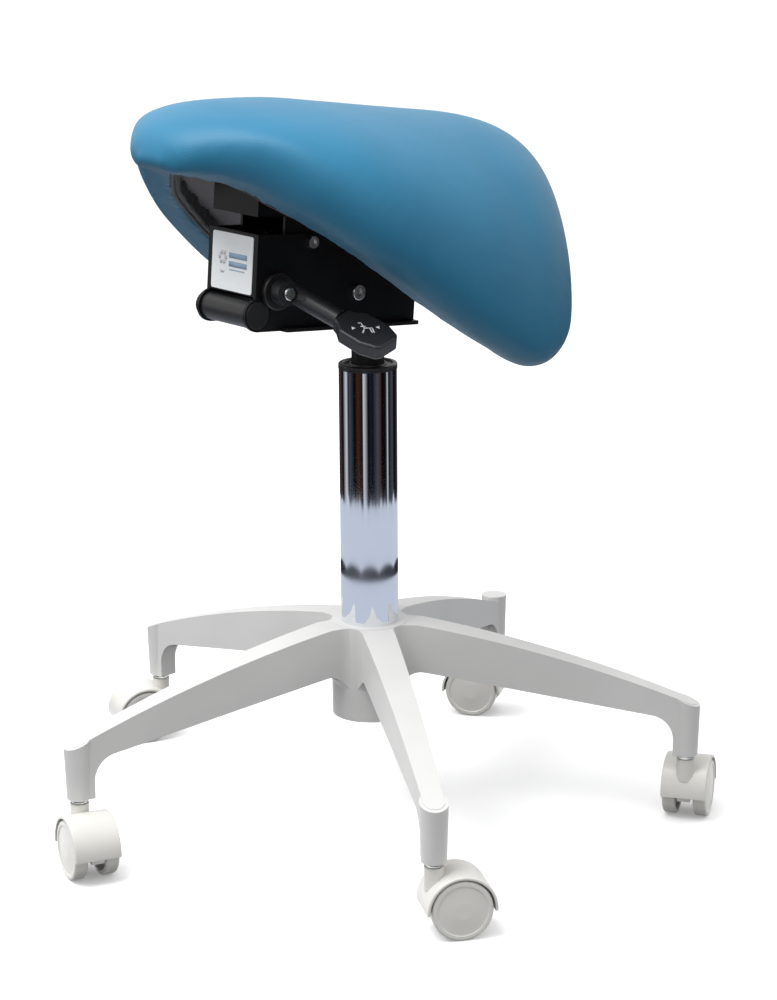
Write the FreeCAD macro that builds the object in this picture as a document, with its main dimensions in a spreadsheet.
import FreeCAD, Part
import math
import os
import Sketcher

# Saddle stool: five-arm base on twin-wheel casters, gas-lift column, tilting seat mechanism
# and a saddle seat. Millimetres, +Z up, origin on the floor under the column's axis.
# The front of the seat points along -Y and the user's left hand is at +X.

V = FreeCAD.Vector
doc = FreeCAD.newDocument("saddle_stool")

DIMENSIONS = {
    # base
    "arm_count": 5, "arm_turn": -11, "stem_circle": 277, "hub_radius": 33.5,
    "hub_bottom": 91, "hub_top": 177, "hub_flat": 46, "arm_crown": 1250, "arm_end": 292,
    "arm_end_top": 108, "arm_half_root": 18.5, "arm_half_tip": 12.3, "lip_depth": 4.5,
    "lip_overhang": 3.6, "wall": 3.2, "notch_fillet": 9, "skirt_bottom": 98.7,
    "boss_bottom": 62, "boss_low_radius": 10.4, "boss_top_radius": 12, "rib": 3,
    # casters
    "wheel_radius": 25, "trail": 19, "hood_radius": 28.8, "hood_gap": 1.6, "hood_width": 40,
    "hood_bottom": 23, "web_width": 11, "web_bottom": 19, "neck_radius": 8, "neck_top": 57.8,
    "axle_radius": 3, "axle_length": 32, "running_gap": 0.05, "wheel_inner": 8,
    "wheel_outer": 19.6, "stem_radius": 5.5, "stem_pin": 4, "flange_radius": 6.6,
    "flange_bottom": 58.3, "stem_top": 83,
    # column
    "tube_radius": 25, "tube_end_radius": 22.75, "tube_bottom": 81, "taper_top": 165,
    "tube_top": 399.5, "tube_bore": 22.8, "cap_radius": 25.3, "cap_top": 404.2,
    "guide_bottom": 304, "gas_radius": 14, "gas_bottom": 108.5, "gas_top": 482,
    "gas_taper": 446, "gas_nose": 13, "rod_radius": 5, "rod_top": 345, "pin_radius": 3,
    "pin_top": 488,
    # tilt mechanism, placed from the pivot axis
    "pivot_forward": 38, "pivot_height": 474, "rest_tilt": 4.7, "case_half": 33, "sheet": 3,
    "case_front": 104.8, "case_back": 63.5, "case_bottom": 25.7, "case_top": 50,
    "plate_half": 41.6, "bracket_half": 29.8, "bracket_top": 97, "bracket_front": 104,
    "cross_forward": 101, "cross_drop": 15, "cross_radius": 12, "lock_forward": 84.5,
    "lock_rise": 4.5, "bolt_radius": 4, "socket_radius": 18,
    # seat
    "foam": 42, "rim_radius": 24, "pan_gap": 0.8, "pan_thick": 5, "binding_radius": 2.2,
}

# Seat stations from the nose to the tail: forward of the column, half width, height of the
# ridge and height of the rim's lowest line.
SEAT_STATIONS = [
    (221, 14, 598, 579), (214, 36, 613, 576), (200, 56, 623, 577), (175, 88, 631, 571),
    (145, 126, 636, 550), (100, 160, 635, 513), (50, 173, 628, 472), (0, 178, 620, 438),
    (-45, 175, 612, 418), (-82, 158, 607, 427), (-110, 122, 599, 462), (-130, 80, 587, 503),
    (-142, 38, 574, 526), (-146, 12, 560, 534),
]

# Half the width of the cone socket's block.
SOCKET_HALF = 18

# Direction in which each caster trails from its stem, in degrees from +X.
CASTER_TRAILS = [345, 63, 124, 216, 251]


class Dim:
    """A size that carries its value and the spreadsheet expression it comes from."""

    def __init__(self, value, text):
        self.value = float(value)
        self.text = text

    def __add__(self, other):
        other = as_dim(other)
        return Dim(self.value + other.value, f"({self.text} + {other.text})")

    def __sub__(self, other):
        other = as_dim(other)
        return Dim(self.value - other.value, f"({self.text} - {other.text})")

    def __mul__(self, other):
        other = as_dim(other)
        return Dim(self.value * other.value, f"({self.text} * {other.text})")

    def __truediv__(self, other):
        other = as_dim(other)
        return Dim(self.value / other.value, f"({self.text} / {other.text})")

    def __neg__(self):
        return Dim(-self.value, f"(0 - {self.text})")

    __radd__ = __add__
    __rmul__ = __mul__

    def __rsub__(self, other):
        return as_dim(other) - self


def as_dim(size):
    return size if isinstance(size, Dim) else Dim(size, repr(float(size)))


class Sheet:
    """The driving dimensions, one attribute for each alias of the spreadsheet."""

    def __init__(self, sizes):
        sheet = doc.addObject("Spreadsheet::Sheet", "dims")
        for row, (alias, size) in enumerate(sizes.items(), start=1):
            sheet.set(f"A{row}", alias)
            sheet.set(f"B{row}", str(size))
            sheet.setAlias(f"B{row}", alias)
            setattr(self, alias, Dim(size, f"dims.{alias}"))


d = Sheet(DIMENSIONS)
doc.recompute()
nodes = []


# ---------------------------------------------------------------- helpers

def bind(obj, prop, size):
    """Set a property, through its expression where the size comes from the sheet."""
    size = as_dim(size)
    if "dims." in size.text:
        obj.setExpression(prop, size.text)
    else:
        setattr(obj, prop, size.value)


def place(obj, at=(0, 0, 0), axis=(0, 0, 1), angle=0):
    values = [as_dim(size) for size in at]
    rotation = FreeCAD.Rotation(V(*axis), angle)
    obj.Placement = FreeCAD.Placement(V(*[size.value for size in values]), rotation)
    for letter, size in zip("xyz", values):
        if "dims." in size.text:
            obj.setExpression(f"Placement.Base.{letter}", size.text)
    return obj


def primitive(kind, name, at=(0, 0, 0), axis=(0, 0, 1), angle=0, **sizes):
    obj = doc.addObject("Part::" + kind, name)
    for prop, size in sizes.items():
        bind(obj, prop, size)
    return place(obj, at, axis, angle)


def box(name, low, high):
    """A box between two corners."""
    low = [as_dim(size) for size in low]
    high = [as_dim(size) for size in high]
    spans = [top - bottom for bottom, top in zip(low, high)]
    return primitive("Box", name, at=low, Length=spans[0], Width=spans[1], Height=spans[2])


def cylinder(name, radius, length, at=(0, 0, 0), along="z"):
    """A cylinder that starts at a point and runs along +X, +Y or +Z."""
    turns = {"z": ((0, 0, 1), 0), "x": ((0, 1, 0), 90), "y": ((1, 0, 0), -90)}
    axis, angle = turns[along]
    return primitive("Cylinder", name, at, axis, angle, Radius=radius, Height=length)


def fuse(name, *solids):
    obj = doc.addObject("Part::MultiFuse", name)
    obj.Shapes = list(solids)
    return obj


def common(name, *solids):
    obj = doc.addObject("Part::MultiCommon", name)
    obj.Shapes = list(solids)
    return obj


def cut(name, base, *tools):
    obj = doc.addObject("Part::Cut", name)
    obj.Base = base
    obj.Tool = tools[0] if len(tools) == 1 else fuse(name + "_tools", *tools)
    return obj


def group(name, solids):
    obj = doc.addObject("Part::Compound", name)
    obj.Links = list(solids)
    return obj


def fillet(name, base, radius, wanted):
    """Round every edge of base that the test function wanted picks."""
    doc.recompute()
    obj = doc.addObject("Part::Fillet", name)
    obj.Base = base
    edges = base.Shape.Edges
    obj.Edges = [(i, radius, radius) for i, edge in enumerate(edges, start=1) if wanted(edge)]
    return obj


def arc_between(start, end, radius, turn):
    """The arc from start to end: turn is 1 when it runs counter-clockwise, -1 otherwise."""
    chord = end - start
    half = chord.Length / 2
    rise = math.sqrt(max(radius ** 2 - half ** 2, 0))
    normal = V(-chord.y, chord.x, 0).normalize()
    centre = (start + end) * 0.5 + normal * (rise * turn)
    first, last = (start, end) if turn > 0 else (end, start)
    circle = Part.Circle(centre, V(0, 0, 1), radius)
    return Part.ArcOfCircle(circle, circle.parameter(first), circle.parameter(last))


def draw(sketch, points, arcs=None):
    """Closed outline through points of the sketch; arcs maps an edge's number to a radius,
    positive where the edge runs counter-clockwise and negative where it runs clockwise."""
    arcs = arcs or {}
    corners = [(as_dim(x), as_dim(y)) for x, y in points]
    places = [V(x.value, y.value, 0) for x, y in corners]
    count = len(places)
    ends = []
    for i in range(count):
        start, end = places[i], places[(i + 1) % count]
        if i in arcs:
            radius = as_dim(arcs[i])
            turn = 1 if radius.value > 0 else -1
            sketch.addGeometry(arc_between(start, end, abs(radius.value), turn), False)
            ends.append((1, 2) if turn > 0 else (2, 1))
        else:
            sketch.addGeometry(Part.LineSegment(start, end), False)
            ends.append((1, 2))
    for i in range(count):
        follower = (i + 1) % count
        joint = Sketcher.Constraint("Coincident", i, ends[i][1], follower, ends[follower][0])
        sketch.addConstraint(joint)
    for i, (x, y) in enumerate(corners):
        for kind, size in (("DistanceX", x), ("DistanceY", y)):
            tie = Sketcher.Constraint(kind, -1, 1, i, ends[i][0], size.value)
            number = sketch.addConstraint(tie)
            if "dims." in size.text:
                sketch.setExpression(f"Constraints[{number}]", size.text)
    for i in arcs:
        radius = as_dim(arcs[i])
        number = sketch.addConstraint(Sketcher.Constraint("Radius", i, abs(radius.value)))
        if "dims." in radius.text and radius.value > 0:
            sketch.setExpression(f"Constraints[{number}]", radius.text)
    return sketch


def free_sketch(name, points, arcs=None, plane="xy"):
    sketch = doc.addObject("Sketcher::SketchObject", name)
    if plane == "xz":
        sketch.Placement = FreeCAD.Placement(V(0, 0, 0), FreeCAD.Rotation(V(1, 0, 0), 90))
    if plane == "yz":
        sketch.Placement = FreeCAD.Placement(V(0, 0, 0), FreeCAD.Rotation(V(1, 1, 1), 120))
    return draw(sketch, points, arcs)


def spin(name, points, arcs=None):
    """A full turn about +Z of an outline given as radius and height."""
    obj = doc.addObject("Part::Revolution", name)
    obj.Source = free_sketch(name + "_profile", points, arcs, "xz")
    obj.Axis = V(0, 0, 1)
    obj.Angle = 360
    obj.Solid = True
    return obj


def prism(name, points, start, length, arcs=None, plane="yz"):
    """An outline in one plane pushed along that plane's normal, from start for a length."""
    normal = {"yz": V(1, 0, 0), "xy": V(0, 0, 1)}[plane]
    letter = {"yz": "x", "xy": "z"}[plane]
    obj = doc.addObject("Part::Extrusion", name)
    obj.Base = free_sketch(name + "_profile", points, arcs, plane)
    obj.DirMode = "Custom"
    obj.Dir = normal
    obj.Solid = True
    bind(obj, "LengthFwd", length)
    return place(obj, (start, 0, 0) if letter == "x" else (0, 0, start))


def origin_plane(body, role):
    return next(item for item in body.Origin.OriginFeatures if item.Role == role)


def turned_body(name, points, arcs=None):
    """A PartDesign body turned about its own Z axis from an outline of radius and height."""
    body = doc.addObject("PartDesign::Body", name)
    sketch = body.newObject("Sketcher::SketchObject", name + "_profile")
    sketch.AttachmentSupport = (origin_plane(body, "XZ_Plane"), [""])
    sketch.MapMode = "FlatFace"
    draw(sketch, points, arcs)
    revolution = body.newObject("PartDesign::Revolution", name + "_turn")
    revolution.Profile = sketch
    revolution.ReferenceAxis = (sketch, ["V_Axis"])
    revolution.Angle = 360
    body.Tip = revolution
    return body


def padded_body(name, points, thickness, edge_round, arcs=None):
    """A PartDesign body: an outline on XY, padded both ways, with its edges rounded."""
    body = doc.addObject("PartDesign::Body", name)
    sketch = body.newObject("Sketcher::SketchObject", name + "_outline")
    sketch.AttachmentSupport = (origin_plane(body, "XY_Plane"), [""])
    sketch.MapMode = "FlatFace"
    draw(sketch, points, arcs)
    pad = body.newObject("PartDesign::Pad", name + "_pad")
    pad.Profile = sketch
    pad.Midplane = True
    pad.Length = thickness
    body.Tip = pad
    if edge_round:
        doc.recompute()
        rounding = body.newObject("PartDesign::Fillet", name + "_round")
        rounding.Base = (pad, [f"Edge{i + 1}" for i in range(len(pad.Shape.Edges))])
        rounding.Radius = edge_round
        body.Tip = rounding
    return body


def node(label, obj):
    """Name a finished piece; the label is also its file's name."""
    obj.Label = label
    nodes.append(obj)
    return obj


def tilted(obj):
    """Place a piece drawn about the tilt pivot at the seat's resting angle."""
    at = (0, -d.pivot_forward, d.pivot_height)
    return place(obj, at, (1, 0, 0), -d.rest_tilt.value)


# ---------------------------------------------------------------- five-arm base

def arm_angle(k):
    return 270 + d.arm_turn.value + k * 360 / d.arm_count.value


def polar(radius, angle, z=0):
    return (radius * math.cos(math.radians(angle)), radius * math.sin(math.radians(angle)), z)


def star_prism(name, inset):
    """Vertical prism over the star's plan, drawn in by an inset, with round inner corners."""
    root = d.arm_half_root - inset
    tip = d.arm_half_tip - inset
    plan = free_sketch(name + "_plan", [(0, -root), (d.stem_circle, -tip), (d.stem_circle, tip), (0, root)])
    pieces = []
    for k in range(int(d.arm_count.value)):
        arm = doc.addObject("Part::Extrusion", f"{name}_arm{k + 1}")
        arm.Base = plan
        arm.DirMode = "Custom"
        arm.Dir = V(0, 0, 1)
        arm.Solid = True
        arm.LengthFwd = 200
        place(arm, angle=arm_angle(k))
        spot = polar(d.stem_circle.value, arm_angle(k))
        end = primitive("Cylinder", f"{name}_end{k + 1}", spot, angle=arm_angle(k) + 180,
                        Radius=tip, Height=200)
        pieces += [arm, end]
    star = fuse(name + "_sharp", *pieces)
    corner = d.arm_half_root.value * 2

    def inner_corner(edge):
        ends = [vertex.Point for vertex in edge.Vertexes]
        upright = len(ends) == 2 and abs(ends[0].z - ends[1].z) > 100
        return upright and math.hypot(ends[0].x, ends[0].y) < corner

    return fillet(name, star, d.notch_fillet.value + as_dim(inset).value, inner_corner)


def crown_profile(name, drop_top, points_below, arcs_below=None, inner=0.0):
    """Radial profile under the arms' crowned top line, drop_top below it."""
    top = [(inner, d.hub_top - drop_top), (d.hub_flat, d.hub_top - drop_top),
           (d.arm_end, d.arm_end_top - drop_top)]
    arcs = {1: -d.arm_crown}
    arcs.update(arcs_below or {})
    return spin(name, top + points_below, arcs)


def star_base():
    lip_band = crown_profile("lip_band", 0, [(d.arm_end, d.arm_end_top - d.lip_depth),
                                             (d.hub_flat, d.hub_top - d.lip_depth),
                                             (0, d.hub_top - d.lip_depth)], {3: d.arm_crown})
    lip = common("lip_sharp", star_prism("lip_star", 0), lip_band)
    wall_arc, boss_arc = 16, 22
    boss_inner = d.stem_circle - 11
    profile = crown_profile("wall_band", 2, [
        (d.arm_end, d.boss_bottom), (boss_inner, d.boss_bottom), (boss_inner, d.skirt_bottom - 21.7),
        (boss_inner - 18.3, d.skirt_bottom), (d.hub_radius + 18.2, d.skirt_bottom + 33.1),
        (d.hub_radius - 0.5, d.skirt_bottom + 17.3), (d.hub_radius - 0.5, d.hub_bottom + 8),
        (0, d.hub_bottom + 8)],
        {5: boss_arc, 7: wall_arc})
    walls = common("walls", star_prism("wall_star", d.lip_overhang), profile)
    hub = cylinder("hub", d.hub_radius, d.hub_top - 1.5 - d.hub_bottom, at=(0, 0, d.hub_bottom))
    boss_band = crown_profile("boss_band", 2.5, [(d.arm_end, d.boss_bottom), (0, d.boss_bottom)])
    bosses = []
    sockets = []
    ribs = []
    for k in range(int(d.arm_count.value)):
        spot = polar(d.stem_circle.value, arm_angle(k), d.boss_bottom.value)
        boss = primitive("Cone", f"boss{k + 1}", spot, angle=arm_angle(k) + 180, Height=58,
                         Radius1=d.boss_low_radius, Radius2=d.boss_top_radius)
        bosses.append(boss)
        socket_length = d.stem_top - d.boss_bottom + 1
        sockets.append(cylinder(f"stem_socket{k + 1}", d.stem_radius + 0.05, socket_length, at=spot))
        rib = box(f"rib{k + 1}", (0, -d.rib / 2, 80), (d.stem_circle, d.rib / 2, 180))
        place(rib, polar(d.rib.value / 2, arm_angle(k) - 90, 80), angle=arm_angle(k))
        ribs.append(rib)
    hollow_drop = d.lip_depth + 1.5
    hollow_band = spin("hollow_band", [
        (d.hub_radius + 3, 80), (d.hub_radius + 3, d.hub_top - hollow_drop),
        (d.stem_circle - 15, d.arm_end_top + 9.9 - hollow_drop), (d.stem_circle - 15, 80)],
        {1: -d.arm_crown})
    hollow = common("hollow_star", star_prism("hollow_plan", d.lip_overhang + d.wall), hollow_band)
    hollow = cut("hollows", hollow, *ribs)
    clear = 0.03
    bore = spin("column_bore", [
        (0, 75), (d.tube_end_radius - 0.16 + clear, 75), (d.tube_radius + clear, d.taper_top),
        (d.tube_radius + clear, 190), (0, 190)])
    rounded = fillet("lip", lip, 1.0, on_crown_rim)
    trimmed_bosses = common("bosses_under_crown", fuse("bosses", *bosses), boss_band)
    body = fuse("star_solid", rounded, walls, hub, trimmed_bosses)
    node("star_base", cut("star_cut", body, hollow, bore, *sockets))


def crown_height(radius):
    """Height of the arms' top line at a radius."""
    flat, end = d.hub_flat.value, d.arm_end.value
    high, low = d.hub_top.value, d.arm_end_top.value
    if radius <= flat:
        return high
    chord = math.hypot(end - flat, high - low)
    rise = math.sqrt(d.arm_crown.value ** 2 - (chord / 2) ** 2)
    centre_x = (flat + end) / 2 - rise * (high - low) / chord
    centre_z = (high + low) / 2 - rise * (end - flat) / chord
    return centre_z + math.sqrt(d.arm_crown.value ** 2 - (radius - centre_x) ** 2)


def on_crown_rim(edge):
    """True for the edges round the top of the arms, not for the ring where the hub's flat ends."""
    middle = edge.valueAt((edge.FirstParameter + edge.LastParameter) / 2)
    reaches = [math.hypot(vertex.X, vertex.Y) for vertex in edge.Vertexes]
    radius = math.hypot(middle.x, middle.y)
    ring = max(abs(reach - d.hub_flat.value) for reach in reaches + [radius]) < 0.01
    return abs(middle.z - crown_height(radius)) < 0.4 and not ring


# ---------------------------------------------------------------- casters

def wheel(name, side):
    """One wheel of a caster, open towards the web; side is 1 for left and -1 for right."""
    inner, outer, radius = d.wheel_inner, d.wheel_outer, d.wheel_radius
    bore = d.axle_radius + d.running_gap
    profile = [
        (bore, inner + 0.6), (7.5, inner + 0.6), (7.5, inner + 6.5), (radius - 3.6, inner + 6.5),
        (radius - 3.6, inner), (radius - 0.8, inner), (radius, inner + 0.8), (radius, outer - 2),
        (radius - 2, outer), (radius - 4, outer), (radius - 4.6, outer - 0.6),
        (radius - 5.6, outer - 0.6), (7, outer + 0.7), (0, outer + 0.7), (0, outer - 3.1),
        (bore, outer - 3.1)]
    body = turned_body(name, profile, {7: 2.0})
    tilt = FreeCAD.Rotation(V(1, 0, 0), -90 * side)
    body.Placement = FreeCAD.Placement(V(d.trail.value, 0, d.wheel_radius.value), tilt)
    return body


def hood(name):
    """Half-cylinder cover over both wheels, with the web between them and the stem's neck."""
    half = d.hood_width / 2
    inner = d.wheel_radius + d.hood_gap
    reach = 40
    drum = cylinder(name + "_drum", d.hood_radius, d.hood_width, (d.trail, -half, d.wheel_radius), "y")
    upper = box(name + "_upper", (-reach, -half, d.hood_bottom), (2 * reach, half, 2 * reach))
    rims = fillet(name + "_rims", common(name + "_dome", drum, upper), 1.3,
                  lambda edge: edge.Length > 50)
    web_half = d.web_width / 2
    disc = cylinder(name + "_disc", inner, d.web_width, (d.trail, -web_half, d.wheel_radius), "y")
    above = box(name + "_above", (-reach, -web_half, d.web_bottom), (2 * reach, web_half, 2 * reach))
    web = common(name + "_web", disc, above)
    neck = cylinder(name + "_neck", d.neck_radius, d.neck_top - 38, (0, 0, 38))
    cavities = []
    for side, start in (("left", web_half), ("right", -half - 1)):
        depth = half + 1 - web_half
        spot = (d.trail, start, d.wheel_radius)
        cavities.append(cylinder(f"{name}_{side}_cavity", inner, depth, spot, "y"))
    stem_hole = cylinder(name + "_stem_hole", d.stem_pin + d.running_gap, 30, (0, 0, 30.5))
    axle_hole = cylinder(name + "_axle_hole", d.axle_radius + 0.02, d.hood_width,
                         (d.trail, -half, d.wheel_radius), "y")
    shell = fuse(name + "_solid", rims, web, neck)
    return cut(name, shell, *cavities, stem_hole, axle_hole)


def swing(obj, k, local=None):
    """Carry a piece drawn at a caster's own origin to stem k, turned to its trail."""
    spot = FreeCAD.Placement(V(*polar(d.stem_circle.value, arm_angle(k))),
                             FreeCAD.Rotation(V(0, 0, 1), CASTER_TRAILS[k]))
    obj.Placement = spot.multiply(local or obj.Placement)
    return obj


def casters():
    stems = []
    for k in range(int(d.arm_count.value)):
        number = k + 1
        stem = turned_body(f"stem{number}", [
            (0, 31), (d.stem_pin, 31), (d.stem_pin, d.flange_bottom),
            (d.flange_radius, d.flange_bottom), (d.flange_radius, d.flange_bottom + 1.2),
            (d.flange_radius - 1, d.flange_bottom + 1.5), (d.flange_radius - 1, d.boss_bottom - 1.4),
            (d.flange_radius, d.boss_bottom - 1.1), (d.flange_radius, d.boss_bottom),
            (d.stem_radius, d.boss_bottom), (d.stem_radius, d.stem_top - 1),
            (d.stem_radius - 1, d.stem_top), (0, d.stem_top)])
        stems.append(place(stem, polar(d.stem_circle.value, arm_angle(k))))
        node(f"caster_hood_{number}", swing(hood(f"hood{number}"), k))
        axle = cylinder(f"axle{number}", d.axle_radius, d.axle_length)
        lying = FreeCAD.Placement(V(d.trail.value, -d.axle_length.value / 2, d.wheel_radius.value),
                                  FreeCAD.Rotation(V(1, 0, 0), -90))
        node(f"caster_axle_{number}", swing(axle, k, lying))
        node(f"caster_wheel_left_{number}", swing(wheel(f"wheel_left{number}", 1), k))
        node(f"caster_wheel_right_{number}", swing(wheel(f"wheel_right{number}", -1), k))
    node("caster_stems", group("stems", stems))


# ---------------------------------------------------------------- column and gas lift

def column():
    floor_low, floor_high = d.tube_bottom + 3.5, d.tube_bottom + 7
    node("column_tube", turned_body("tube", [
        (d.tube_end_radius, d.tube_bottom), (d.tube_radius, d.taper_top),
        (d.tube_radius, d.tube_top), (d.tube_bore, d.tube_top), (d.tube_bore, d.taper_top + 5),
        (d.tube_end_radius - 2.2, floor_high), (d.rod_radius + 0.4, floor_high),
        (d.rod_radius + 0.4, floor_low), (d.tube_end_radius - 2.3, floor_low),
        (d.tube_end_radius - 2.3, d.tube_bottom)]))
    node("column_cap_ring", turned_body("cap_ring", [
        (d.gas_radius + 0.6, d.tube_top), (d.cap_radius, d.tube_top),
        (d.cap_radius, d.cap_top - 1.2), (d.cap_radius - 1.2, d.cap_top),
        (d.cap_radius - 3.4, d.cap_top), (d.cap_radius - 4.2, d.cap_top - 1.4),
        (d.gas_radius + 2.2, d.cap_top - 1.4), (d.gas_radius + 1.6, d.cap_top),
        (d.gas_radius + 0.6, d.cap_top)], {2: 1.2}))
    node("column_guide_sleeve", turned_body("guide", [
        (d.gas_radius + d.running_gap, d.guide_bottom), (d.tube_bore - 0.03, d.guide_bottom),
        (d.tube_bore - 0.03, d.tube_top), (d.gas_radius + d.running_gap, d.tube_top)]))
    race_bottom = floor_high
    node("thrust_race_lower", turned_body("race_lower", [
        (d.rod_radius + 0.5, race_bottom), (14, race_bottom), (14, race_bottom + 2),
        (d.rod_radius + 0.5, race_bottom + 2)]))
    ball_radius = 1.6
    balls = []
    for k in range(8):
        spot = polar(9.7, k * 45, race_bottom.value + 2 + ball_radius)
        balls.append(primitive("Sphere", f"ball{k + 1}", at=spot, Radius=ball_radius))
    node("thrust_balls", group("balls", balls))
    upper = race_bottom + 5.6
    node("thrust_race_upper", turned_body("race_upper", [
        (d.rod_radius + 0.02, upper), (14, upper), (14, upper + 2), (d.rod_radius + 0.02, upper + 2)]))
    buffer_low = upper + 2
    node("rubber_buffer", turned_body("buffer", [
        (d.rod_radius + 0.05, buffer_low), (11.5, buffer_low), (11.5, buffer_low + 3),
        (9, buffer_low + 5), (11.5, buffer_low + 7), (11.5, buffer_low + 10),
        (d.rod_radius + 0.05, buffer_low + 10)]))


def gas_lift():
    piston_low = d.rod_top - 18
    node("piston_rod", turned_body("rod", [
        (0, d.tube_bottom + 0.5), (d.rod_radius, d.tube_bottom + 0.5), (d.rod_radius, piston_low),
        (11.6, piston_low), (11.6, d.rod_top), (0, d.rod_top)]))
    clip_low = d.tube_bottom + 0.9
    ring = turned_body("clip_ring", [
        (d.rod_radius + 0.02, clip_low), (9.5, clip_low), (9.5, clip_low + 1.6),
        (d.rod_radius + 0.02, clip_low + 1.6)])
    slot = box("clip_slot", (-d.rod_radius + 1, -15, d.tube_bottom), (d.rod_radius - 1, 0, d.tube_bottom + 5))
    node("retaining_clip", cut("clip", ring, slot))
    pin_hole = d.pin_radius + d.running_gap
    node("gas_cylinder", turned_body("gas", [
        (d.rod_radius + d.running_gap, d.gas_bottom), (d.gas_radius, d.gas_bottom),
        (d.gas_radius, d.gas_taper), (d.gas_nose, d.gas_top), (pin_hole, d.gas_top),
        (pin_hole, d.gas_taper - 10), (12, d.gas_taper - 10), (12, d.gas_bottom + 8),
        (d.rod_radius + d.running_gap, d.gas_bottom + 8)]))
    node("release_pin", turned_body("pin", [
        (0, d.gas_taper - 6), (d.pin_radius, d.gas_taper - 6), (d.pin_radius, d.gas_top + 3.8),
        (4.5, d.gas_top + 3.8), (4.5, d.pin_top - 0.8), (3.7, d.pin_top), (0, d.pin_top)]))


def cone_socket():
    """Carrier on the gas cylinder's taper that holds the tilt pivot and the brake sector."""
    low = d.gas_taper + 1
    collar = cylinder("socket_collar", d.socket_radius, 33, (0, 0, low))
    block = box("socket_block", (-SOCKET_HALF, -d.pivot_forward, 464), (SOCKET_HALF, 0, 480))
    eye = cylinder("socket_eye", 12, 2 * SOCKET_HALF, (-SOCKET_HALF, -d.pivot_forward, d.pivot_height), "x")
    slope = (d.gas_radius - d.gas_nose) / (d.gas_top - d.gas_taper)
    taper = spin("socket_taper", [
        (0, low - 2), (d.gas_radius + 0.02, low - 2), (d.gas_nose + 0.02 - slope * 2, d.gas_top + 2),
        (0, d.gas_top + 2)])
    fat_bore = cylinder("axle_bore", 6 + d.running_gap, 30, (0, -d.pivot_forward, d.pivot_height), "x")
    thin_bore = cylinder("lever_bore", 5 + d.running_gap, 30, (-30, -d.pivot_forward, d.pivot_height), "x")
    node("cone_socket", cut("socket", fuse("socket_solid", collar, block, eye), taper, fat_bore, thin_bore))


def brake_sector():
    """Friction plate fixed beside the pivot; its curved edge runs between the brake sleeves."""
    edge_radius, thick = 80, 3
    high, low = math.radians(17), math.radians(-13)
    tip_high = (-edge_radius * math.cos(high), edge_radius * math.sin(high))
    tip_low = (-edge_radius * math.cos(low), edge_radius * math.sin(low))
    plate = prism("sector", [tip_high, tip_low, (-14, -11.5), (12, -9.5), (12, 6.5), (-14, 11.5)],
                  SOCKET_HALF, thick, {0: edge_radius})
    hole = cylinder("sector_hole", 9, 10, (SOCKET_HALF - 2, 0, 0), "x")
    sector = cut("sector_cut", plate, hole)
    node("brake_sector", place(sector, (0, -d.pivot_forward, d.pivot_height)))


# ---------------------------------------------------------------- tilt mechanism on the seat

def hex_recess(name, at, across, depth, along="x"):
    """Six-sided key recess that starts at a point and runs along +X or +Z."""
    turns = {"z": ((0, 0, 1), 0), "x": ((0, 1, 0), 90)}
    axis, angle = turns[along]
    obj = primitive("Prism", name, at, axis, angle, Circumradius=across, Height=depth)
    obj.Polygon = 6
    return obj


def bracket_bolt_spots():
    return [(-50, 43), (36, 42)]


def seat_bolt_spots():
    return [(x, y) for x in (-17, 17) for y in (-78, 38)]


def tilt_case():
    """Folded steel channel: two side cheeks and a front wall, closed round the cross tube."""
    inside = d.case_half - d.sheet
    front, back, low, high = -d.case_front, d.case_back, -d.case_bottom, d.case_top
    ring = d.cross_radius + 1.7
    cheek = [(front, high), (front, -d.cross_drop + 13.16), (-d.cross_forward, -d.cross_drop - ring),
             (-78, -d.cross_drop - ring), (-78, low), (back, low), (back, 12), (back - 22, high)]
    outer = prism("case_outer", cheek, -d.case_half, 2 * d.case_half, {1: ring})
    room = [(front + d.sheet, high + 5), (front + d.sheet, low - 5), (back + 5, low - 5), (back + 5, high + 5)]
    inner = prism("case_inner", room, -inside, 2 * inside)
    front_cut = box("case_front_cut", (-inside, front - 20, low - 10), (inside, front + 4, -0.5))
    width = 2 * d.case_half + 2
    start = -d.case_half - 1
    cross = cylinder("case_cross_hole", d.cross_radius + 0.02, width,
                     (start, -d.cross_forward, -d.cross_drop), "x")
    lock = cylinder("case_lock_hole", d.bolt_radius + d.running_gap, width,
                    (start, -d.lock_forward, d.lock_rise), "x")
    near = cylinder("case_axle_hole", 6.02, d.case_half + 1, (0, 0, 0), "x")
    far = cylinder("case_bush_hole", 7.02, d.case_half + 1, (start, 0, 0), "x")
    screws = [cylinder(f"case_screw_hole{i}", 3.02, width, (start, y, z), "x")
              for i, (y, z) in enumerate(bracket_bolt_spots(), start=1)]
    node("tilt_case", tilted(cut("case", outer, inner, front_cut, cross, lock, near, far, *screws)))


def bottom_plate():
    half, low = d.plate_half, -d.case_bottom - d.sheet
    plate = box("plate", (-half, -78, low), (half, d.case_back, -d.case_bottom))
    corners = fillet("plate_round", plate, 3.0, lambda edge: abs(edge.Vertexes[0].Z - edge.Vertexes[1].Z) > 1)
    notch = box("plate_notch", (-21, 11, low - 1), (21, d.case_back + 1, -d.case_bottom + 1))
    node("bottom_plate", tilted(cut("plate_cut", corners, notch)))


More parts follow.
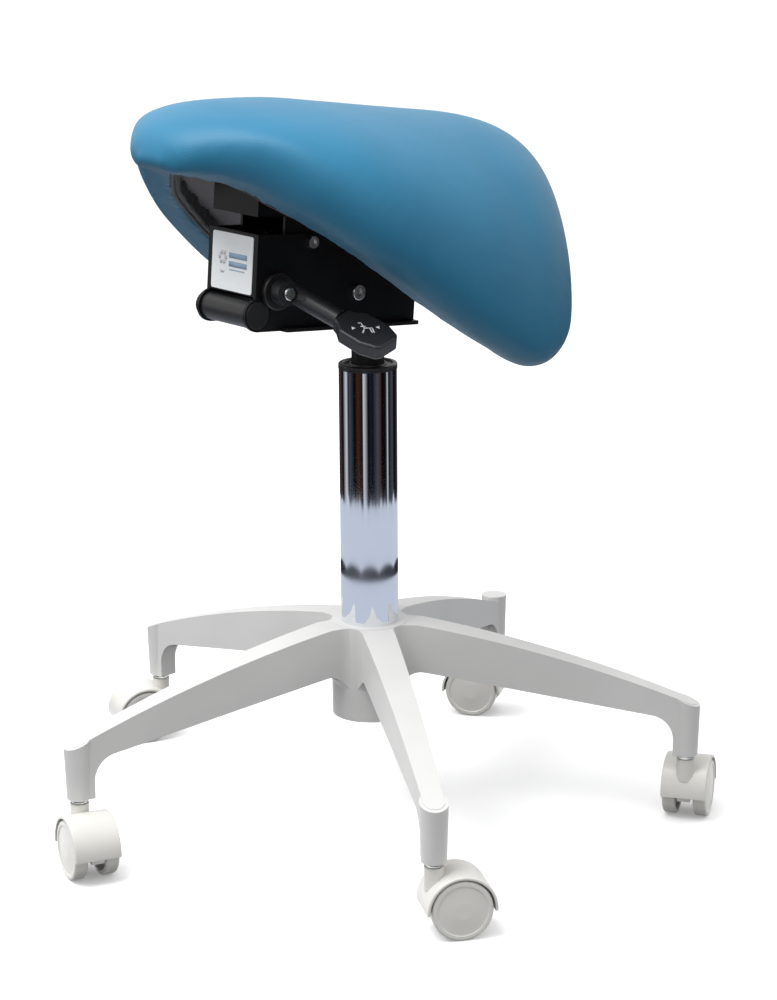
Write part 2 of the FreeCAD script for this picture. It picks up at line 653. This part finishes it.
def seat_bracket():
    """Channel between the case and the seat pan, stepped down inside the case's cheeks."""
    half, top, front = d.case_half - d.sheet, d.bracket_top, -d.bracket_front
    outline = [(front, top), (front, 64), (-76, 64), (-76, 34), (48, 34), (60, 46), (60, top)]
    outer = prism("bracket_outer", outline, -half, 2 * half)
    room = [(front + 3, top - 3), (front + 3, 20), (70, 20), (70, top - 3)]
    inner = prism("bracket_inner", room, 3 - half, 2 * half - 6)
    holes = [cylinder(f"bracket_hole{i}", 4.05, 20, (x, y, top - 12))
             for i, (x, y) in enumerate(seat_bolt_spots(), start=1)]
    holes += [cylinder(f"bracket_screw_hole{i}", 3.02, 2 * half + 2, (-half - 1, y, z), "x")
              for i, (y, z) in enumerate(bracket_bolt_spots(), start=1)]
    node("seat_bracket", tilted(cut("bracket", outer, inner, *holes)))
    bolts = []
    for side in (-1, 1):
        for y, z in bracket_bolt_spots():
            number = len(bolts) + 1
            head_at = d.case_half if side > 0 else -d.case_half - 3
            shank_at = d.case_half - 9 if side > 0 else -d.case_half
            recess_at = d.case_half + 1.5 if side > 0 else -d.case_half - 3.5
            head = cylinder(f"bracket_head{number}", 5, 3, (head_at, y, z), "x")
            shank = cylinder(f"bracket_shank{number}", 3, 9, (shank_at, y, z), "x")
            recess = hex_recess(f"bracket_recess{number}", (recess_at, y, z), 2.6, 2)
            bolts.append(cut(f"bracket_bolt{number}", fuse(f"bracket_stud{number}", head, shank), recess))
    node("bracket_bolts", tilted(group("bracket_bolt_group", bolts)))


def pivot_and_cross_tube():
    axle = cylinder("pivot_pin", 6, d.case_half - 2, (2, 0, 0), "x")
    head = cylinder("pivot_head", 6.5, 4, (d.case_half, 0, 0), "x")
    rounded = fillet("pivot_head_round", head, 0.8, lambda edge: edge.Length > 30)
    recess = hex_recess("pivot_recess", (d.case_half + 1.5, 0, 0), 3.4, 4)
    node("pivot_bolt", tilted(cut("pivot", fuse("pivot_solid", axle, rounded), recess)))
    bush = cylinder("bush_outer", 7, 6, (-d.case_half - 3, 0, 0), "x")
    bush_bore = cylinder("bush_bore", 5 + d.running_gap, 8, (-d.case_half - 4, 0, 0), "x")
    node("lever_bush", tilted(cut("bush", bush, bush_bore)))
    reach = 32.9
    at = (-reach, -d.cross_forward, -d.cross_drop)
    tube = cylinder("cross_outer", d.cross_radius, 2 * reach, at, "x")
    ends = fillet("cross_round", tube, 1.2, lambda edge: edge.Length > 60)
    bore = cylinder("cross_bore", 6 + d.running_gap, 24, at, "x")
    node("cross_tube", tilted(cut("cross", ends, bore)))
    knob = turned_body("knob", [
        (0, -16), (6, -16), (6, 0.4), (d.cross_radius, 0.4), (d.cross_radius + 0.4, 1.5),
        (d.cross_radius - 1.4, 5.5), (d.cross_radius - 5, 8.5), (0, 8.5)], {5: 6.0})
    local = FreeCAD.Placement(V(-reach, -d.cross_forward.value, -d.cross_drop.value),
                              FreeCAD.Rotation(V(0, 1, 0), -90))
    knob.Placement = tilt_placement().multiply(local)
    node("tension_knob", knob)


def tilt_placement():
    return FreeCAD.Placement(V(0, -d.pivot_forward.value, d.pivot_height.value),
                             FreeCAD.Rotation(V(1, 0, 0), -d.rest_tilt.value))


def label_plate():
    low, high, thick = 0.7, 47.4, 0.6
    plate = box("label_sheet", (-27, -d.case_front - thick, low), (27.5, -d.case_front, high))
    rounded = fillet("label_round", plate, 2.0, lambda edge: abs(edge.Length - thick) < 0.01)
    node("label_plate", tilted(rounded))


def lock_hardware():
    """Collar, brake sleeves and clamp bolt of the tilt lock."""
    lock = (-d.lock_forward, d.lock_rise)
    ring = cylinder("collar_ring", 15.5, 5.5, (d.case_half, *lock), "x")
    collar = fillet("collar_round", ring, 1.2, lambda edge: edge.Length > 60)
    collar_bore = cylinder("collar_bore", d.bolt_radius + d.running_gap, 10, (d.case_half - 1, *lock), "x")
    node("lever_collar", tilted(cut("collar", collar, collar_bore)))
    inside = d.case_half - d.sheet
    gap = 0.4
    far_end, near_start = SOCKET_HALF - gap, SOCKET_HALF + 3 + gap
    sleeves = []
    for side, start, length in (("far", -inside, inside + far_end),
                                ("near", near_start, inside - near_start)):
        sleeve = cylinder(f"{side}_sleeve_outer", 9, length, (start, *lock), "x")
        hole = cylinder(f"{side}_sleeve_hole", d.bolt_radius + 0.4, 70, (-35, *lock), "x")
        sleeves.append(cut(f"{side}_sleeve", sleeve, hole))
    node("brake_sleeves", tilted(group("sleeves", sleeves)))
    shank = cylinder("clamp_shank", d.bolt_radius, 2 * d.case_half + 20.4, (-d.case_half - 3, *lock), "x")
    head = cylinder("clamp_head", 5.4, 2.6, (d.case_half + 17, *lock), "x")
    dome = fillet("clamp_head_round", head, 0.9, lambda edge: edge.Length > 30)
    node("clamp_bolt", tilted(fuse("clamp", shank, dome)))


def paddle_turn(aim, twist):
    """Rotation that lays a paddle's length along aim, its width twisted up from level."""
    across = V(0, 0, 1).cross(aim).normalize()
    up = aim.cross(across)
    level = FreeCAD.Rotation(aim, across, up, "XYZ")
    return FreeCAD.Rotation(aim, twist).multiply(level)


def lever(prefix, slope, swing, offset, twist, bore_radius):
    """Control lever along +X from a hub on the X axis: round arm, cranked aside, and flat paddle."""
    hub_start, hub_length = 0.4, 11
    root = V(6, offset, 0)
    slope, swing = math.radians(slope), math.radians(swing)
    aim = V(math.cos(slope) * math.cos(swing), math.cos(slope) * math.sin(swing), -math.sin(slope))
    hub = cylinder(prefix + "_hub", 10.5, hub_length, (hub_start, 0, 0), "x")
    arm = primitive("Cone", prefix + "_tube", Radius1=8.6, Radius2=7.8, Height=52)
    arm.Placement = FreeCAD.Placement(root, FreeCAD.Rotation(V(0, 0, 1), aim))
    keep = box(prefix + "_keep", (hub_start, -60, -80), (120, 80, 40))
    bore = cylinder(prefix + "_bore", bore_radius, 13, (-1, 0, 0), "x")
    bores = [bore]
    if offset:
        bores.append(cylinder(prefix + "_head_room", 6.2, 40, (hub_start + hub_length - 0.2, 0, 0), "x"))
    trimmed = common(prefix + "_trim", fuse(prefix + "_solid", hub, arm), keep)
    arm_solid = cut(prefix + "_cut", trimmed, *bores)
    paddle = padded_body(prefix + "_grip", [
        (52, -8.5), (58, -11), (66, -17), (88, -17.5), (101, -13), (104, -9), (104, 9),
        (101, 13), (88, 17.5), (66, 17), (58, 11), (52, 8.5)], 13, 2.4)
    paddle.Placement = FreeCAD.Placement(root, paddle_turn(aim, twist))
    return arm_solid, paddle


def tilt_lever():
    arm, paddle = lever("tilt_lever", 18, 13.7, 8, 22, d.bolt_radius + 0.02)
    start = FreeCAD.Placement(V(d.case_half.value + 5.5, -d.lock_forward.value, d.lock_rise.value),
                              FreeCAD.Rotation())
    for label, obj in (("tilt_lever_arm", arm), ("tilt_lever_paddle", paddle)):
        obj.Placement = tilt_placement().multiply(start).multiply(obj.Placement)
        node(label, obj)


def height_lever():
    """Lever on the right that tips a finger down onto the gas cylinder's release pin."""
    arm, paddle = lever("height_lever", 21, 6, 0, 0, 5.02)
    outer_face = d.case_half.value + 3 + 1.5
    start = FreeCAD.Placement(V(-outer_face, -d.pivot_forward.value, d.pivot_height.value),
                              FreeCAD.Rotation(V(0, 0, 1), 180))
    for label, obj in (("height_lever_arm", arm), ("height_lever_paddle", paddle)):
        obj.Placement = start.multiply(obj.Placement)
        node(label, obj)
    length = outer_face + 11.4 - 2
    node("height_lever_shaft", cylinder("lever_shaft", 5, length,
                                        (-outer_face - 11.4, -d.pivot_forward, d.pivot_height), "x"))
    near, far = -SOCKET_HALF - 1.5, -SOCKET_HALF - 8.5
    finger_low, finger_high = d.pin_top + 0.35, d.pin_top + 6.35
    hub = cylinder("rocker_hub", 9, near - far, (far, -d.pivot_forward, d.pivot_height), "x")
    arm_plate = prism("rocker_arm", [
        (-d.pivot_forward - 4, d.pivot_height + 7), (-d.pivot_forward + 4, d.pivot_height - 7),
        (6, finger_low), (6, finger_high), (-8, finger_high)], far, near - far)
    finger = box("rocker_finger", (far, -6, finger_low), (5, 6, finger_high))
    bore = cylinder("rocker_bore", 5.02, 20, (far - 5, -d.pivot_forward, d.pivot_height), "x")
    node("release_rocker", cut("rocker", fuse("rocker_solid", hub, arm_plate, finger), bore))


# ---------------------------------------------------------------- saddle seat

def station_curve(column):
    """Smooth function of the distance forward through one column of the seat stations."""
    knots = sorted((row[0], row[column]) for row in SEAT_STATIONS)
    xs = [knot[0] for knot in knots]
    ys = [knot[1] for knot in knots]
    steps = [xs[i + 1] - xs[i] for i in range(len(xs) - 1)]
    slopes = [(ys[i + 1] - ys[i]) / steps[i] for i in range(len(steps))]
    tangents = [slopes[0]]
    for i in range(1, len(slopes)):
        before, after = slopes[i - 1], slopes[i]
        if before * after <= 0:
            tangents.append(0)
            continue
        left = 2 * steps[i] + steps[i - 1]
        right = steps[i] + 2 * steps[i - 1]
        tangents.append((left + right) / (left / before + right / after))
    tangents.append(slopes[-1])

    def value(x):
        i = max(0, min(len(steps) - 1, sum(1 for knot in xs[1:-1] if x >= knot)))
        t = (x - xs[i]) / steps[i]
        rise = ys[i] * (1 + 2 * t) * (1 - t) ** 2 + ys[i + 1] * t * t * (3 - 2 * t)
        lean = steps[i] * t * (1 - t) * (tangents[i] * (1 - t) - tangents[i + 1] * t)
        return rise + lean

    return value


class Saddle:
    """Cross-sections of the seat at a distance forward of the column."""

    def __init__(self):
        self.width = station_curve(1)
        self.ridge = station_curve(2)
        self.rim = station_curve(3)

    def sizes(self, u):
        """Half width, ridge height, rim centre height, rim radius and foam depth."""
        width, ridge, low = self.width(u), self.ridge(u), self.rim(u)
        height = ridge - low
        rim = min(d.rim_radius.value, 0.45 * height, 0.45 * width)
        centre = low + rim
        foam = min(d.foam.value, 0.86 * (ridge - centre))
        return width, ridge, centre, rim, foam

    def outer(self, u, theta):
        """Point of the top surface; theta runs from the ridge at 0 to the side at 90 degrees."""
        width, ridge, centre, rim, foam = self.sizes(u)
        across = math.sin(theta) ** 0.95 if theta > 0 else 0
        up = max(math.cos(theta), 0) ** 0.9
        return width * across, centre + (ridge - centre) * up

    def under(self, u, theta, gap):
        """Point of the underside arch, gap below it; theta is 0 at the crown."""
        width, ridge, centre, rim, foam = self.sizes(u)
        reach = max(width - 2 * rim - gap, 0.5)
        crown = ridge - foam - gap
        return reach * math.sin(theta), centre + (crown - centre) * math.cos(theta)

    def cushion_section(self, u):
        """Points round the whole section, from the ridge down the left and back."""
        width, ridge, centre, rim, foam = self.sizes(u)
        half = [self.outer(u, math.radians(angle)) for angle in (0, 9, 20, 32, 44, 56, 67, 77, 84, 90)]
        half += [(width - rim + rim * math.cos(math.radians(a)), centre - rim * math.sin(math.radians(a)))
                 for a in (35, 70, 105, 140)]
        half += [self.under(u, math.radians(angle), 0) for angle in (88, 70, 52, 35, 17)]
        crown = self.under(u, 0, 0)
        left = [V(x, -u, z) for x, z in half]
        right = [V(-x, -u, z) for x, z in reversed(half[1:])]
        return left + [V(crown[0], -u, crown[1])] + right


def closed_curve(points):
    curve = Part.BSplineCurve()
    curve.interpolate(Points=points, PeriodicFlag=True)
    return Part.Wire(curve.toShape())


def open_curve(points):
    curve = Part.BSplineCurve()
    curve.interpolate(Points=points)
    return curve.toShape()


def shape_feature(name, shape):
    obj = doc.addObject("Part::Feature", name)
    obj.Shape = shape
    return obj


def arch_section(saddle, u, upper, lower):
    """Closed wire between two arches under the seat."""
    angles = [math.radians(a) for a in (-90, -72, -54, -36, -18, 0, 18, 36, 54, 72, 90)]

    def arch(gap):
        points = []
        for angle in angles:
            x, z = saddle.under(u, abs(angle), gap)
            points.append(V(math.copysign(x, angle), -u, z))
        return points

    top, bottom = arch(upper), arch(lower)
    return Part.Wire([open_curve(top), Part.makeLine(top[-1], bottom[-1]),
                      open_curve(bottom[::-1]), Part.makeLine(bottom[0], top[0])])


def filled_section(saddle, u, gap, floor):
    """Closed wire under the arch down to a level floor."""
    angles = [math.radians(a) for a in (-90, -72, -54, -36, -18, 0, 18, 36, 54, 72, 90)]
    points = []
    for angle in angles:
        x, z = saddle.under(u, abs(angle), gap)
        points.append(V(math.copysign(x, angle), -u, z))
    low_left = V(points[-1].x, -u, floor)
    low_right = V(points[0].x, -u, floor)
    return Part.Wire([open_curve(points), Part.makeLine(points[-1], low_left),
                      Part.makeLine(low_left, low_right), Part.makeLine(low_right, points[0])])


def seat():
    saddle = Saddle()
    cushion_stations = [221, 217.5, 211, 200, 184, 163, 140, 112, 80, 45, 10, -25, -58, -88, -112, -130,
                        -140, -146]
    sections = [closed_curve(saddle.cushion_section(u)) for u in cushion_stations]
    cushion = Part.makeLoft(sections, True, False)
    node("seat_cushion", shape_feature("cushion", cushion))
    pan_stations = [188, 172, 150, 125, 95, 60, 25, -10, -45, -75, -98]
    gap, thick = d.pan_gap.value, d.pan_thick.value
    shell = shape_feature("pan_shell", Part.makeLoft(
        [arch_section(saddle, u, gap, gap + thick) for u in pan_stations], True, False))
    core = shape_feature("pan_core", Part.makeLoft(
        [filled_section(saddle, u, gap + 0.5, 380) for u in pan_stations], True, False))
    half = d.case_half - d.sheet
    pad_box = box("pan_pad_box", (-half, -d.bracket_front, d.bracket_top), (half, 60, d.bracket_top + 40))
    pad = common("pan_pad", core, tilted(group("pan_pad_block", [pad_box])))
    clear = 0.3
    holes = [box("pan_bracket_room", (-half - clear, -d.bracket_front - clear, 0),
                 (half + clear, 60 + clear, d.bracket_top))]
    studs = []
    for i, (x, y) in enumerate(seat_bolt_spots(), start=1):
        bottom = d.bracket_top - 3
        holes.append(cylinder(f"pan_hole{i}", 4.05, 8, (x, y, d.bracket_top - 2)))
        head = cylinder(f"seat_bolt_head{i}", 6.5, 4, (x, y, bottom - 4))
        shank = cylinder(f"seat_bolt_shank{i}", 4, 8, (x, y, bottom - 1))
        recess = hex_recess(f"seat_bolt_recess{i}", (x, y, bottom - 5), 3, 3, "z")
        studs.append(cut(f"seat_bolt{i}", fuse(f"seat_stud{i}", head, shank), recess))
    node("seat_pan", cut("pan", fuse("pan_solid", shell, pad), tilted(group("pan_holes", holes))))
    node("seat_bolts", tilted(group("seat_bolt_group", studs)))
    binding_radius = d.binding_radius.value
    rim_points = []
    rim_stations = [-112, -95, -70, -40, -5, 30, 65, 100, 130, 155, 175, 190, 199]
    for side in (1, -1):
        line = []
        for u in rim_stations:
            width, ridge, centre, rim, foam = saddle.sizes(u)
            line.append(V(side * (width - 2 * rim - binding_radius - 0.1), -u, centre - 1))
        rim_points += line if side > 0 else line[::-1]
    steps = [(after - before).Length for before, after in zip(rim_points, rim_points[1:])]
    path = Part.BSplineCurve()
    path.interpolate(Points=rim_points, Parameters=[sum(steps[:i]) for i in range(len(rim_points))])
    wire = Part.Wire(path.toShape())
    start = rim_points[0]
    circle = Part.Wire(Part.makeCircle(binding_radius, start, path.tangent(path.FirstParameter)[0]))
    node("edge_binding", shape_feature("binding", wire.makePipeShell([circle], True, False)))


star_base()
casters()
column()
gas_lift()
cone_socket()
brake_sector()
tilt_case()
bottom_plate()
seat_bracket()
pivot_and_cross_tube()
label_plate()
lock_hardware()
tilt_lever()
height_lever()
seat()

doc.recompute()
for item in doc.Objects:
    if "Invalid" in item.State or "Error" in item.State:
        raise RuntimeError(f"{item.Name} is {item.State}")
os.makedirs("parts", exist_ok=True)
for item in nodes:
    if item.Shape.isNull() or not item.Shape.isValid():
        raise RuntimeError(f"{item.Label} has no valid shape")
    item.Shape.exportStep(f"parts/{item.Label}.step")
print(len(nodes), "nodes exported")
